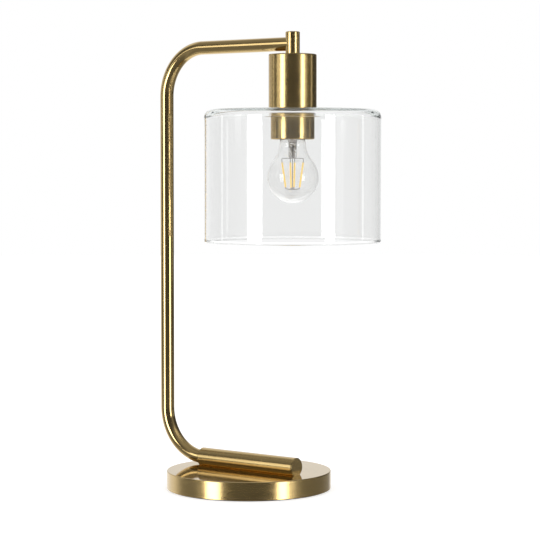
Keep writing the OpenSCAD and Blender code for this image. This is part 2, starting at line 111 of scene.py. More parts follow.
HOLE_R = RING_R + 0.6 * MM
HOLDER_R = half_width("holder_shell")
HOLDER_Z0 = low("holder_shell", Z)
GLOBE_R = half_width("bulb_glass")
GLOBE_Z = low("bulb_glass", Z) + GLOBE_R
NECK_Z = high("bulb_glass", Z)
CAP_R = half_width("bulb_cap")
CAP_Z0 = low("bulb_cap", Z)
CAP_Z1 = high("bulb_cap", Z)
PILLAR_R = 4.6 * MM
PILLAR_TIP = low("bulb_stem", Z)
FILAMENT_Z0 = low("bulb_filaments", Z)
FILAMENT_Z1 = high("bulb_filaments", Z)
HUB_Z = low("bulb_leads", Z)

# Finishes are node trees. A small helper keeps them short.

class Tree:
    """Adds nodes to a material's or world's tree and links them."""

    def __init__(self, holder):
        holder.use_nodes = True
        self.tree = holder.node_tree
        self.tree.nodes.clear()

    def add(self, kind, settings=None, **inputs):
        node = self.tree.nodes.new(kind)
        for name, value in (settings or {}).items():
            setattr(node, name, value)
        for name, value in inputs.items():
            self.put(node, name, value)
        return node

    def put(self, node, name, value):
        socket = node.inputs[int(name[1:])] if name[1:].isdigit() else node.inputs[name.replace("_", " ")]
        if isinstance(value, bpy.types.NodeSocket):
            self.tree.links.new(value, socket)
        else:
            socket.default_value = value

    def math(self, operation, a, b=0.0, clamp=False):
        settings = {"operation": operation, "use_clamp": clamp}
        return self.add("ShaderNodeMath", settings, i0=a, i1=b).outputs[0]

    def mix(self, share, a, b):
        node = self.add("ShaderNodeMix", {"data_type": "RGBA"})
        for index, value in ((0, share), (6, a), (7, b)):
            self.put(node, f"i{index}", value)
        return node.outputs[2]

    def ramp(self, value, stops):
        node = self.add("ShaderNodeValToRGB", i0=value)
        steps = node.color_ramp.elements
        steps.remove(steps[1])
        for place, level in stops:
            step = steps[0] if place == stops[0][0] else steps.new(place)
            step.position = place
            step.color = (level, level, level, 1)
        return node.outputs[0]

    def span(self, value, a0, a1, b0, b1):
        node = self.add("ShaderNodeMapRange", {"interpolation_type": "SMOOTHSTEP"})
        for index, number in enumerate((value, a0, a1, b0, b1)):
            self.put(node, f"i{index}", number)
        return node.outputs[0]

    def noise(self, vector, scale, detail=2.0):
        return self.add("ShaderNodeTexNoise", i0=vector, Scale=scale, Detail=detail).outputs[0]

    def surface(self, shader, volume=None, kind="ShaderNodeOutputMaterial"):
        output = self.add(kind, i0=shader)
        if volume is not None:
            self.tree.links.new(volume, output.inputs[1])


def material(name):
    made = bpy.data.materials.new(name)
    return made, Tree(made)


def turned_coordinates(tree, centre, across, around):
    """Coordinates that are fine along a turned piece's profile and slow round its axis."""
    place = tree.add("ShaderNodeNewGeometry").outputs["Position"]
    shifted = tree.add("ShaderNodeVectorMath", {"operation": "SUBTRACT"}, i0=place, i1=centre).outputs[0]
    parts = tree.add("ShaderNodeSeparateXYZ", i0=shifted)
    x, y, z = parts.outputs
    square = tree.math("ADD", tree.math("MULTIPLY", x, x), tree.math("MULTIPLY", y, y))
    reach = tree.math("SQRT", square)
    angle = tree.math("ARCTAN2", y, x)
    profile = tree.math("MULTIPLY", tree.math("ADD", reach, z), across)
    height = tree.math("MULTIPLY", tree.math("SUBTRACT", z, reach), across)
    return tree.add("ShaderNodeCombineXYZ", i0=profile, i1=height, i2=tree.math("MULTIPLY", angle, around)).outputs[0]


def lengthwise_coordinates(tree, across, along):
    """Coordinates that are fine round a tube or bar and slow along it, from its own UV map."""
    uv = tree.add("ShaderNodeUVMap", {"uv_map": "UVMap"}).outputs[0]
    return tree.add("ShaderNodeVectorMath", {"operation": "MULTIPLY"}, i0=uv, i1=(across, along, 1)).outputs[0]


BRASS = (0.575, 0.42, 0.185, 1)
BRASS_DARK = (0.485, 0.35, 0.148, 1)


def brass(name, streaks, roughness=0.19, spread=0.08, bump=0.03, polish=0.0):
    """Brushed brass under a thin lacquer: fine streaks vary its gloss, its tone and its surface.

    polish is how much smoother a face is that looks straight up.
    """
    made, tree = material(name)
    vector = streaks(tree)
    fine = tree.noise(vector, 1.0, 5.0)
    geometry = tree.add("ShaderNodeNewGeometry").outputs
    patches = tree.noise(geometry["Position"], 28.0, 2.0)
    share = tree.span(tree.math("ADD", fine, tree.math("MULTIPLY", patches, 0.4)), 0.5, 0.95, 0.0, 1.0)
    colour = tree.mix(share, BRASS_DARK, BRASS)
    gloss = tree.span(fine, 0.3, 0.7, roughness, roughness + spread)
    if polish:
        upward = tree.add("ShaderNodeSeparateXYZ", i0=geometry["True Normal"]).outputs[2]
        gloss = tree.math("MULTIPLY", gloss, tree.span(upward, 0.8, 0.98, 1.0, 1.0 - polish))
    lines = tree.add("ShaderNodeBump", Strength=bump, Distance=0.00001, Height=fine)
    shader = tree.add("ShaderNodeBsdfPrincipled", Base_Color=colour, Metallic=1.0, Roughness=gloss,
        Normal=lines.outputs[0])
    tree.surface(shader.outputs[0])
    return made


def head_streaks(tree):
    return turned_coordinates(tree, AXIS, 2600.0, 1.2)


def base_streaks(tree):
    return turned_coordinates(tree, ORIGIN, 2200.0, 2.0)


def tube_streaks(tree):
    return lengthwise_coordinates(tree, 160.0, 0.8)


def glass(name, tint, edge, waves, wave_scale, density=0.0, pressed=None):
    """Clear glass with the slight waves of a blown wall, and painted shade: its colour turns to the grey edge tone
    where it is seen edge on, which draws dark outlines at its silhouettes.

    pressed is the tone of dark specks painted where the glass was pinched while soft: painted shade that stands in for
    the dark refraction of the crinkled glass.
    """
    made, tree = material(name)
    place = tree.add("ShaderNodeNewGeometry").outputs["Position"]
    stretched = tree.add("ShaderNodeVectorMath", {"operation": "MULTIPLY"}, i0=place, i1=(1, 1, 0.35)).outputs[0]
    wave = tree.noise(stretched, wave_scale, 1.0)
    bump = tree.add("ShaderNodeBump", Strength=waves, Distance=0.0006, Height=wave)
    facing = tree.add("ShaderNodeLayerWeight", Blend=0.5).outputs["Facing"]
    # Painted shade: grey outlines where the glass is seen edge on.
    colour = tree.mix(tree.span(facing, 0.78, 0.99, 0.0, 1.0), tint, edge)
    if pressed:
        # Painted shade: dark specks in place of the crinkled glass's dark refraction.
        specks = tree.span(tree.noise(place, 620.0, 3.0), 0.50, 0.56, 0.0, 0.9)
        colour = tree.mix(specks, colour, pressed)
    shader = tree.add("ShaderNodeBsdfPrincipled", Base_Color=colour, Roughness=0.0, IOR=1.5,
        Transmission_Weight=1.0, Specular_IOR_Level=0.34, Normal=bump.outputs[0])
    volume = None
    if density:
        volume = tree.add("ShaderNodeVolumeAbsorption", Color=(0.82, 0.88, 0.86, 1), Density=density).outputs[0]
    tree.surface(shader.outputs[0], volume)
    return made


def mottled(name, light, dark, scale, roughness, metallic=0.0, bump=0.1, depth=0.0002, **extra):
    """A plain solid finish whose tone, gloss and surface vary with noise."""
    made, tree = material(name)
    place = tree.add("ShaderNodeNewGeometry").outputs["Position"]
    grain = tree.noise(place, scale, 4.0)
    colour = tree.mix(tree.span(grain, 0.35, 0.65, 0.0, 1.0), (*dark, 1), (*light, 1))
    gloss = tree.span(grain, 0.3, 0.7, roughness * 0.85, min(1.0, roughness * 1.2))
    lines = tree.add("ShaderNodeBump", Strength=bump, Distance=depth, Height=grain)
    shader = tree.add("ShaderNodeBsdfPrincipled", Base_Color=colour, Metallic=metallic, Roughness=gloss,
        Normal=lines.outputs[0], **extra)
    tree.surface(shader.outputs[0])
    return made


def phosphor_painted_glow(name):
    """Yellow phosphor in silicone, a little translucent and slightly lumpy, with a painted glow: it gives off a little
    light though the bulb is off.
    """
    # Painted light: the emission makes the unlit filaments glow.
    return mottled(name, (0.98, 0.76, 0.24), (0.93, 0.64, 0.14), 900.0, 0.42, bump=0.35,
        Emission_Color=(1.0, 0.66, 0.17, 1), Emission_Strength=0.75)


FINISHES = {
    "base_brass": brass("base_brass", base_streaks, 0.17, 0.07, polish=0.72),
    "head_brass": brass("head_brass", head_streaks),
    "tube_brass": brass("tube_brass", tube_streaks, 0.08, 0.02, 0.0),
    "bar_brass": brass("bar_brass", tube_streaks, 0.17, 0.03, 0.0),
    "raw_brass": mottled("raw_brass", (0.78, 0.64, 0.34), (0.66, 0.50, 0.24), 500.0, 0.28, 1.0),
    "cast_iron": mottled("cast_iron", (0.075, 0.075, 0.078), (0.04, 0.04, 0.042), 350.0, 0.72, bump=0.6),
    "foot_pad": mottled("foot_pad", (0.035, 0.035, 0.038), (0.018, 0.018, 0.02), 1400.0, 0.9, bump=0.8),
    "black_plastic": mottled("black_plastic", (0.028, 0.026, 0.024), (0.018, 0.017, 0.016), 700.0, 0.4),
    "sheath": mottled("sheath", (0.045, 0.045, 0.046), (0.03, 0.03, 0.031), 600.0, 0.55),
    "porcelain": mottled("porcelain", (0.86, 0.84, 0.78), (0.78, 0.76, 0.70), 300.0, 0.22, Coat_Weight=0.4),
    "zinc_steel": mottled("zinc_steel", (0.66, 0.67, 0.70), (0.52, 0.53, 0.56), 600.0, 0.32, 1.0),
    # The second colour of each glass is the painted grey of its edges.
    "clear_glass": glass("clear_glass", (0.945, 0.947, 0.945, 1), (0.80, 0.825, 0.81, 1), 0.2, 22.0, 4.0),
    "bulb_clear_glass": glass("bulb_clear_glass", (0.965, 0.965, 0.962, 1), (0.80, 0.81, 0.80, 1), 0.15, 40.0),
    "pressed_glass": glass("pressed_glass", (0.95, 0.95, 0.945, 1), (0.5, 0.5, 0.48, 1), 0.6, 500.0,
        pressed=(0.16, 0.11, 0.07, 1)),
    "lead_wire": mottled("lead_wire", (0.30, 0.27, 0.24), (0.14, 0.11, 0.09), 900.0, 0.35, 1.0),
    "cap_metal": mottled("cap_metal", (0.74, 0.73, 0.70), (0.60, 0.59, 0.57), 450.0, 0.24, 1.0),
    "cap_insulator": mottled("cap_insulator", (0.02, 0.02, 0.024), (0.012, 0.012, 0.014), 500.0, 0.3),
    "silicone": mottled("silicone", (0.90, 0.90, 0.88), (0.84, 0.84, 0.82), 400.0, 0.3, Transmission_Weight=0.5),
    "phosphor": phosphor_painted_glow("phosphor"),
    "circuit_board": mottled("circuit_board", (0.03, 0.12, 0.06), (0.02, 0.08, 0.04), 900.0, 0.4),
}

# Mesh builders

def finish(made, body, slot, finish_name, *nodes, bevel_angle=32):
    """Puts a finished mesh on its body, with its material, in place of its CAD nodes."""
    made.data.materials.append(FINISHES[finish_name])
    made.data.shade_smooth()
    made.data.set_sharp_from_angle(angle=math.radians(bevel_angle))
    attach(made, body)
    if nodes:
        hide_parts(*nodes)
    return made


def from_bmesh(name, built):
    bmesh.ops.recalc_face_normals(built, faces=built.faces)
    mesh = bpy.data.meshes.new(name)
    built.to_mesh(mesh)
    built.free()
    made = bpy.data.objects.new(name, mesh)
    bpy.context.scene.collection.objects.link(made)
    return made


def arc(centre, radius, start, end, steps=10):
    """Points of a profile's arc, from angle start to end in degrees."""
    return [(centre[0] + radius * math.cos(math.radians(start + (end - start) * i / steps)),
        centre[1] + radius * math.sin(math.radians(start + (end - start) * i / steps))) for i in range(steps + 1)]


def softened(points, radius, steps=4):
    """A closed profile with each of its corners, except those on the axis, rounded by a small radius."""
    rounded = []
    count = len(points)
    for i, point in enumerate(points):
        here = Vector(point)
        before = Vector(points[i - 1]) - here
        after = Vector(points[(i + 1) % count]) - here
        cut = min(radius, before.length * 0.45, after.length * 0.45)
        if here.x < 1e-7 or cut < 1e-7 or abs(before.angle(after) - math.pi) < 0.5:
            rounded.append(tuple(here))
            continue
        start = here + before.normalized() * cut
        end = here + after.normalized() * cut
        for step in range(steps + 1):
            share = step / steps
            a = start.lerp(here, share)
            b = here.lerp(end, share)
            rounded.append(tuple(a.lerp(b, share)))
    return rounded


def supported(profile):
    """The profile with a point close to both ends of each long straight, so that its shading stays flat."""
    near = 0.2 * MM
    points = []
    for start, end in zip(profile, profile[1:] + profile[:1]):
        a, b = Vector(start), Vector(end)
        points.append(tuple(start))
        if (b - a).length > 10 * near:
            step = (b - a).normalized() * near
            points += [tuple(a + step), tuple(b - step)]
    return points


def lathe(name, profile, centre=AXIS, segments=160, ripple=None):
    """A closed profile of (radius, height) points turned about the vertical line through centre."""
    built = bmesh.new()
    rings = []
    for radius, height in supported(profile):
        if radius < 1e-7:
            rings.append([built.verts.new((centre.x, centre.y, height))])
            continue
        ring = []
        for i in range(segments):
            turn = 2 * math.pi * i / segments
            r = radius + (ripple(turn, height) if ripple else 0)
            ring.append(built.verts.new((centre.x + r * math.cos(turn), centre.y + r * math.sin(turn), height)))
        rings.append(ring)
    for a, b in zip(rings, rings[1:] + rings[:1]):
        if len(a) == 1 and len(b) == 1:
            continue
        for i in range(segments):
            j = (i + 1) % segments
            corners = [a[0]] if len(a) == 1 else [a[i], a[j]]
            corners += [b[0]] if len(b) == 1 else [b[j], b[i]]
            built.faces.new(corners)
    return from_bmesh(name, built)


def lay_along_x(made, z):
    """Turns a lathe made about the Z axis so that its axis runs along +X at height z."""
    turn = Matrix(((0, 0, 1, 0), (0, 1, 0, 0), (-1, 0, 0, z), (0, 0, 0, 1)))
    made.data.transform(turn)
    return made


def rod_mesh(built, start, end, radius, segments=20, rounding=0.3):
    """Adds a round rod with softly rounded ends between two points."""
    start, end = Vector(start), Vector(end)
    length = (end - start).length
    turn = (end - start).to_track_quat("Z", "Y").to_matrix().to_4x4()
    soft = radius * rounding
    stations = [(0, 0), (radius - soft, 0), (radius - soft * 0.3, soft * 0.3), (radius, soft),
        (radius, length - soft), (radius - soft * 0.3, length - soft * 0.3), (radius - soft, length), (0, length)]
    rings = []
    for r, z in stations:
        around = range(segments) if r > 0 else [0]
        rings.append([built.verts.new(start + turn @ Vector((r * math.cos(2 * math.pi * i / segments),
            r * math.sin(2 * math.pi * i / segments), z))) for i in around])
    for a, b in zip(rings, rings[1:]):
        for i in range(segments):
            j = (i + 1) % segments
            corners = [a[0]] if len(a) == 1 else [a[i], a[j]]
            corners += [b[0]] if len(b) == 1 else [b[j], b[i]]
            built.faces.new(corners)


def swept_tube(built, path, radius, segments=12):
    """Adds a closed round wire along a list of points."""
    path = [Vector(p) for p in path]
    side = None
    rings = []
    for i, point in enumerate(path):
        ahead = (path[min(i + 1, len(path) - 1)] - path[max(i - 1, 0)]).normalized()
        if side is None:
            side = ahead.orthogonal().normalized()
        side = (side - ahead * side.dot(ahead)).normalized()
        other = ahead.cross(side)
        rings.append([built.verts.new(point + radius * (side * math.cos(2 * math.pi * k / segments)
            + other * math.sin(2 * math.pi * k / segments))) for k in range(segments)])
    for a, b in zip(rings, rings[1:]):
        for k in range(segments):
            m = (k + 1) % segments
            built.faces.new([a[k], a[m], b[m], b[k]])
    built.faces.new(rings[0])
    built.faces.new(rings[-1])


def drill(made, start, end, radius, segments=48):
    """Cuts a round hole through a mesh and applies the cut."""
    built = bmesh.new()
    rod_mesh(built, start, end, radius, segments, 0.02)
    cutter = from_bmesh("cutter", built)
    cut = made.modifiers.new("hole", "BOOLEAN")
    cut.operation = "DIFFERENCE"
    cut.solver = "EXACT"
    cut.object = cutter
    shaped = bpy.data.meshes.new_from_object(made.evaluated_get(bpy.context.evaluated_depsgraph_get()))
    made.modifiers.clear()
    made.data = shaped
    bpy.data.objects.remove(cutter)
    return made


def threaded_shell(name, radius, z0, z1, pitch, depth, plain, inside, segments=112, per_pitch=10):
    """A tube with a round thread outside, plain for a short way at its lower end.

    inside is either the wall of a rolled shell, which follows the thread, or a plain bore's profile, top first.
    """
    built = bmesh.new()
    count = max(8, int((z1 - z0) / pitch * per_pitch))

    def ring(z, r, inset=0.0, turned=True):
        points = []
        for i in range(segments):
            turn = 2 * math.pi * i / segments
            wave = 0.5 - 0.5 * math.cos(2 * math.pi * ((z - z0) / pitch - turn / (2 * math.pi)))
            grown = min(1.0, max(0.0, (z - z0 - plain) / pitch), max(0.0, (z1 - z) / (pitch * 0.5)))
            reach = r - inset - (depth * wave * grown if turned else 0.0)
            points.append(built.verts.new((HEAD_X + reach * math.cos(turn), reach * math.sin(turn), z)))
        return points

    heights = [z0 + (z1 - z0) * i / count for i in range(count + 1)]
    rings = [ring(z, radius) for z in heights]
    if isinstance(inside, float):
        rings += [ring(z, radius, inset=inside) for z in reversed(heights)]
    else:
        rings += [ring(z, r, turned=False) for r, z in inside]
    for a, b in zip(rings, rings[1:] + rings[:1]):
        for i in range(segments):
            j = (i + 1) % segments
            built.faces.new([a[i], a[j], b[j], b[i]])
    return from_bmesh(name, built)


def add_uv(made, along, around):
    """Writes a UV map: u is the share round the axis, v the length along it in decimetres."""
    layer = made.data.uv_layers.new(name="UVMap")
    for polygon in made.data.polygons:
        turns = []
        for loop in polygon.loop_indices:
            place = made.data.vertices[made.data.loops[loop].vertex_index].co
            turns.append((around(place), along(place)))
        wrap = max(u for u, _ in turns) - min(u for u, _ in turns) > 0.5
        for loop, (u, v) in zip(polygon.loop_indices, turns):
            layer.data[loop].uv = (u + 1 if wrap and u < 0.5 else u, v)


# Base

def base_cover():
    """Drawn cover: a flat top, a tight rolled edge, and a straight skirt with the cord's hole."""
    z0 = low("base_shell", Z)
    inside = BASE_TOP - COVER_T
    edge = 1.0 * MM
    profile = [(0, BASE_TOP), *arc((BASE_R - edge, BASE_TOP - edge), edge, 90, 0, 8)]
    profile += arc((BASE_R - 0.35 * MM, z0 + 0.35 * MM), 0.35 * MM, 0, -90, 4)
    profile += [(BASE_R - COVER_T, z0), (BASE_R - COVER_T, inside - edge), (BASE_R - COVER_T - edge, inside), (0, inside)]
    made = lathe("base_cover", profile, ORIGIN, 320)
    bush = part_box("cord_bush")
    cord_z = (bush[0].z + bush[1].z) / 2
    hole_r = 4.65 * MM
    drill(made, (-BASE_R - 3 * MM, 0, cord_z), (-BASE_R + 4 * MM, 0, cord_z), hole_r)
    finish(made, "stand", "lamp_brass", "base_brass", "base_shell")


def lying_bar():
    """Round bar with chamfered ends, bored for the tube, and milled flat where it lies on the cover."""
    chamfer = 1.0 * MM
    bore = TUBE_R + 0.05 * MM
    soft = 0.12 * MM
    outer = softened([(bore, BAR_X0), (BAR_R - chamfer, BAR_X0), (BAR_R, BAR_X0 + chamfer), (BAR_R, BAR_X1 - chamfer),
        (BAR_R - chamfer, BAR_X1), (0, BAR_X1), (0, TUBE_END_X), (bore, TUBE_END_X)], soft, 3)
    made = lay_along_x(lathe("lying_bar", outer, ORIGIN, 192), BAR_Z)
    built = bmesh.new()
    built.from_mesh(made.data)
    geometry = built.verts[:] + built.edges[:] + built.faces[:]
    cut = bmesh.ops.bisect_plane(built, geom=geometry, plane_co=(0, 0, BASE_TOP), plane_no=UP, clear_inner=True)
    rims = [item for item in cut["geom_cut"] if isinstance(item, bmesh.types.BMEdge)]
    bmesh.ops.holes_fill(built, edges=rims, sides=0)
    built.to_mesh(made.data)
    built.free()
    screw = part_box("tube_set_screw")
    screw_x = (screw[0].x + screw[1].x) / 2
    drill(made, (screw_x, TUBE_R * 0.8, BAR_Z), (screw_x, BAR_R + 2 * MM, BAR_Z), 2.05 * MM, 32)

    def around(place):
        return (math.atan2(place.y, place.z - BAR_Z) / (2 * math.pi)) % 1

    def along(place):
        return place.x * 10

    add_uv(made, along, around)
    finish(made, "stand", "lamp_brass", "bar_brass", "base_bar")


# Arc tube

def tube_stations():
    """Centre, direction of travel and length so far, along the tube's whole route."""
    stations = []
    length = 0.0

    def station(point, ahead):
        nonlocal length
        here = Vector(point)
        if stations:
            length += (here - stations[-1][0]).length
        stations.append((here, Vector(ahead), length))

    for share in (0.0, 0.5):
        station((TUBE_END_X - (TUBE_END_X - BEND_END_X) * share, 0, BAR_Z), (-1, 0, 0))
    steps = 56
    for i in range(steps + 1):
        turn = math.pi / 2 * i / steps
        station((BEND_END_X - BEND_R * math.sin(turn), 0, BAR_Z + BEND_R * (1 - math.cos(turn))),
            (-math.cos(turn), 0, math.sin(turn)))
    rise = 14
    z0, z1 = BAR_Z + BEND_R, ARM_Z - BEND_R
    for i in range(1, rise):
        station((UPRIGHT_X, 0, z0 + (z1 - z0) * i / rise), (0, 0, 1))
    for i in range(steps + 1):
        turn = math.pi / 2 * i / steps
        station((BEND_END_X - BEND_R * math.cos(turn), 0, z1 + BEND_R * math.sin(turn)),
            (math.sin(turn), 0, math.cos(turn)))
    for i in range(1, 7):
        station((BEND_END_X + (HEAD_X - 10 * MM - BEND_END_X) * i / 6, 0, ARM_Z), (1, 0, 0))
    station((HEAD_X, 0, ARM_Z), (1, 0, 0))
    return stations


def arc_tube():
    """One tube, bent twice, whose far end is coped to the stem's side."""
    segments = 96
    built = bmesh.new()
    layer = built.loops.layers.uv.new("UVMap")
    stations = tube_stations()
    last = len(stations) - 1

    def ring(index, radius):
        centre, ahead, _ = stations[index]
        side = Vector((0, 1, 0))
        other = ahead.cross(side)
        points = []
        for k in range(segments):
            turn = 2 * math.pi * k / segments
            place = centre + radius * (side * math.cos(turn) + other * math.sin(turn))
            if index == last:
                place.x = HEAD_X - math.sqrt((STEM_R + 0.05 * MM) ** 2 - place.y ** 2)
            points.append(built.verts.new(place))
        return points

    def skin(radius, outward):
        rings = [ring(i, radius) for i in range(last + 1)]
        for i in range(last):
            for k in range(segments):
                m = (k + 1) % segments
                face = built.faces.new([rings[i][k], rings[i][m], rings[i + 1][m], rings[i + 1][k]])
                spots = [(k, i), (k + 1, i), (k + 1, i + 1), (k, i + 1)]
                for loop, (u, v) in zip(face.loops, spots):
                    loop[layer].uv = (u / segments, stations[v][2] * 10)
                if not outward:
                    face.normal_flip()
        return rings

    outer = skin(TUBE_R, True)
    inner = skin(TUBE_R - TUBE_WALL, False)
    for a, b in ((outer[0], inner[0]), (outer[last], inner[last])):
        for k in range(segments):
            m = (k + 1) % segments
            built.faces.new([a[k], a[m], b[m], b[k]])
    finish(from_bmesh("bent_tube", built), "stand", "lamp_brass", "tube_brass", "arc_tube")


# Head

def stem_and_cap():
    seam = 0.15 * MM
    bore = STEM_R - 2.2 * MM
    floor_z = STEM_Z0 + 5 * MM
    nipple = half_width("nipple") + 0.05 * MM
    profile = softened([(nipple, STEM_Z0), (STEM_R, STEM_Z0), (STEM_R, STEM_Z1), (bore, STEM_Z1), (bore, floor_z),
        (nipple, floor_z)], seam)
    made = lathe("stem_sleeve", profile, segments=128)
    lead = half_width("inner_lead")
    drill(made, (HEAD_X - STEM_R - 3 * MM, 0, ARM_Z), (HEAD_X, 0, ARM_Z), lead + 1.5 * MM)
    finish(made, "stand", "lamp_brass", "head_brass", "stem")
    chamfer = 0.8 * MM
    plug = bore - 0.05 * MM
    plug_z = low("stem_cap", Z)
    cap = softened([(0, plug_z), (plug, plug_z), (plug, STEM_Z1), (STEM_R, STEM_Z1), (STEM_R, STEM_TOP - chamfer),
        (STEM_R - chamfer, STEM_TOP), (0, STEM_TOP)], 0.1 * MM)
    finish(lathe("stem_plug", cap, segments=128), "stand", "lamp_brass", "head_brass", "stem_cap")


def cup():
    """Deep cup over the lamp-holder, its edges rolled, open below."""
    edge = 1.5 * MM
    hole = half_width("nipple") + 0.3 * MM
    inner = CUP_R - CUP_WALL
    roof = CUP_Z1 - CUP_ROOF
    lip = 0.5 * MM
    profile = [(hole, CUP_Z1), *arc((CUP_R - edge, CUP_Z1 - edge), edge, 90, 0, 10)]
    profile += arc((CUP_R - edge, CUP_Z0 + edge), edge, 0, -90, 10)
    profile += [(inner, CUP_Z0), (inner, roof - lip), (inner - lip, roof), (hole, roof)]
    finish(lathe("holder_cup_cover", profile, segments=224), "stand", "lamp_brass", "head_brass", "holder_cup")


def ring():
    """Threaded ring: a barrel, a thin flange that carries the glass, and a short neck above it."""
    edge = 0.8 * MM
    soft = 0.18 * MM
    bore_low = RING_R - 2.2 * MM
    thread_r = HOLDER_R + 0.3 * MM
    relief_r = thread_r + 1.7 * MM
    thread_z1 = HOLDER_Z0 + 10 * MM
    outline = [(bore_low, RING_Z0), (RING_R - edge, RING_Z0), (RING_R, RING_Z0 + edge), (RING_R, FLANGE_Z0),
        (FLANGE_R, FLANGE_Z0), (FLANGE_R, FLANGE_Z1), (RING_R, FLANGE_Z1), (RING_R, RING_Z1 - edge),
        (RING_R - edge, RING_Z1), (relief_r, RING_Z1), (relief_r, thread_z1), (thread_r, thread_z1),
        (thread_r, HOLDER_Z0), (bore_low, HOLDER_Z0)]
    made = lathe("threaded_ring", softened(outline, soft, 3), segments=224)
    finish(made, "ring", "lamp_brass", "head_brass", "shade_ring")
    washer_z1 = high("flange_washer", Z)
    washer_r = half_width("flange_washer")
    washer = [(RING_R + 0.05 * MM, FLANGE_Z1), (washer_r, FLANGE_Z1), (washer_r, washer_z1), (RING_R + 0.05 * MM, washer_z1)]
    made = lathe("clear_washer", softened(washer, 0.12 * MM, 3), segments=160)
    finish(made, "ring", "silicone", "silicone", "flange_washer")


def shade():
    """Blown glass cylinder: flat top, rounded shoulder, and a fire-polished bead at the rim."""
    inner_r = SHADE_R - SHADE_WALL
    under = SHADE_Z1 - SHADE_ROOF
    inner_corner = SHOULDER_R - SHADE_WALL
    bead = RIM_BEAD / 2
    soft = 0.9 * MM
    wall_steps = 24
    wave = 0.10 * MM

    def ripple(turn, height):
        swell = math.sin(3 * turn + 9 * height) + 0.6 * math.sin(5 * turn + 1.3 - 14 * height)
        slow = min(1.0, (SHADE_Z1 - height) / (30 * MM)) * min(1.0, (height - SHADE_Z0) / (10 * MM))
        return -abs(wave) * (0.5 + 0.31 * swell) * max(0.0, slow)

    top = [(HOLE_R, under + soft), *arc((HOLE_R + soft, SHADE_Z1 - soft), soft, 180, 90, 5)]
    shoulder = arc((SHADE_R - SHOULDER_R, SHADE_Z1 - SHOULDER_R), SHOULDER_R, 90, 0, 18)
    wall_top, wall_low = SHADE_Z1 - SHOULDER_R, SHADE_Z0 + bead
    wall = [(SHADE_R, wall_top + (wall_low - wall_top) * i / wall_steps) for i in range(1, wall_steps)]
    rim = arc((SHADE_R - bead, wall_low), bead, 0, -180, 16)
    inner_low = wall_low + 1.6 * MM
    inner_high = under - inner_corner
    inside = [(inner_r, inner_low + (inner_high - inner_low) * i / wall_steps) for i in range(wall_steps)]
    corner = arc((inner_r - inner_corner, under - inner_corner), inner_corner, 0, 90, 14)
    made = lathe("glass_cylinder", top + shoulder + wall + rim + inside + corner + [(HOLE_R + soft, under)],
        segments=288, ripple=ripple)
    finish(made, "shade", "clear_glass", "clear_glass", "glass_shade", bevel_angle=60)


def holder_thread():
    """The holder's lower body, whose outer thread shows when the ring is unscrewed."""
    z1 = high("holder_shell", Z)
    lamp_bore = HOLDER_R - 5.6 * MM
    core_r = half_width("holder_core") + 0.05 * MM
    core_z0, core_z1 = low("holder_core", Z), high("holder_core", Z)
    lip_r = core_r + 2 * MM
    bore = [(lip_r, z1), (lip_r, core_z1), (core_r, core_z1), (core_r, core_z0), (lamp_bore, core_z0), (lamp_bore, HOLDER_Z0)]
    made = threaded_shell("holder_threaded_shell", HOLDER_R, HOLDER_Z0, z1, 2.6 * MM, 0.55 * MM, 0.8 * MM, bore, 128)
    finish(made, "stand", "black_plastic", "black_plastic", "holder_shell", bevel_angle=50)


# Bulb

def bulb_envelope():
    """Blown envelope: a globe that flows through a waist into the neck, with its inner skin."""
    wall = 0.8 * MM
    curve = 30 * MM
    neck_r = 15.5 * MM
    neck_x = neck_r + curve
    neck_z = GLOBE_Z + math.sqrt((GLOBE_R + curve) ** 2 - neck_x ** 2)
    meet = math.degrees(math.atan2(neck_z - GLOBE_Z, neck_x))
    end_r = CAP_R - 0.55 * MM

    def skin(inset):
        line = arc((0, GLOBE_Z), GLOBE_R - inset, -90, meet, 72)
        line += arc((neck_x, neck_z), curve + inset, 180 + meet, 180, 24)[1:]
        line += [(end_r - inset, CAP_Z0), (end_r - inset, NECK_Z)]
        return [(max(0.0, r) if r > 1e-6 else 0.0, z) for r, z in line]

    made = lathe("bulb_envelope", skin(0.0) + list(reversed(skin(wall))), segments=192)
    finish(made, "bulb", "bulb_clear_glass", "bulb_clear_glass", "bulb_glass", bevel_angle=60)


